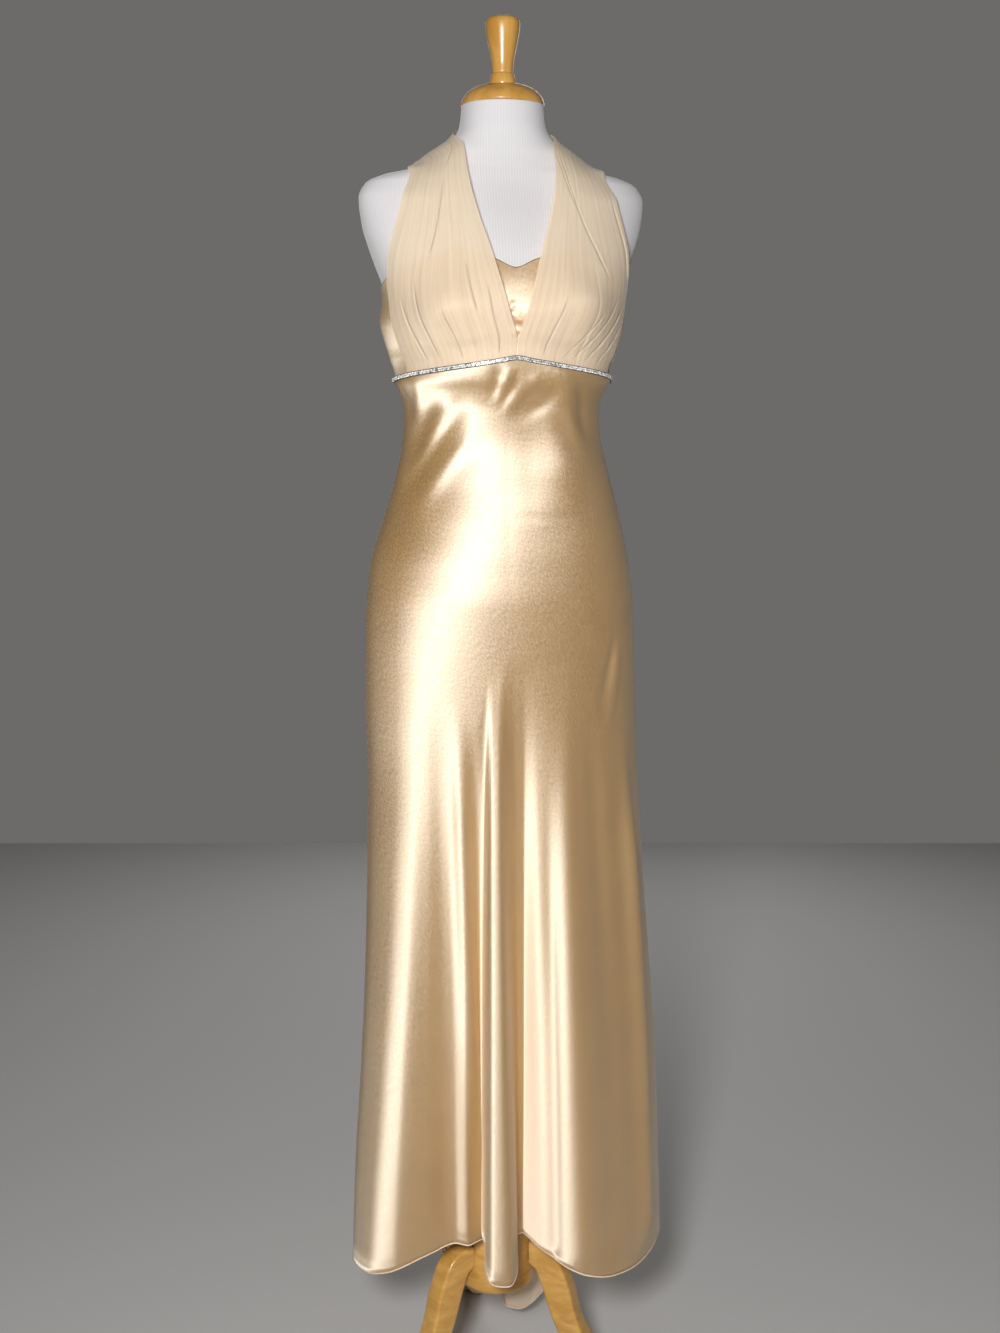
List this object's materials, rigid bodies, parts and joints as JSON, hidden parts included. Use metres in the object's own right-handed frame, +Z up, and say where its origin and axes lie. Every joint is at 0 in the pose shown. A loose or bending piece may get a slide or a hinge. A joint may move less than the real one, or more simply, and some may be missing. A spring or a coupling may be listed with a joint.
{
  "type": "evening gown on a dress form",
  "caption": "Long bias-cut satin halter gown with a gathered chiffon neck and a sparkling empire band, on a limbless dress form with a turned wooden neck cap and a three-legged stand.",
  "frame": {"origin": "on the floor, under the middle of the whole part's bounding box", "axes": "+Z up, -Y the way the gown's front faces, +X towards the wearer's left"},
  "size_m": [0.546, 0.5224, 2.0185],
  "materials": {
    "satin": "champagne gold satin with a strong sheen along the bias",
    "chiffon": "sheer matt peach-cream chiffon, gathered",
    "rhinestones": "clear set stones on a narrow band",
    "jersey": "white ribbed jersey cover",
    "wood": "honey-coloured clear varnish"
  },
  "bodies": {
    "root": {"skirt_front": "satin", "skirt_back": "satin", "bodice_front": "satin", "bodice_back": "satin", "halter_left": "chiffon", "halter_right": "chiffon", "neck_band": "chiffon", "trim_band": "rhinestones", "form_torso": "jersey", "neck_cap": "wood", "finial": "wood", "pole": "wood", "hub": "wood", "leg_1": "wood", "leg_2": "wood", "leg_3": "wood"}
  },
  "joints": []
}
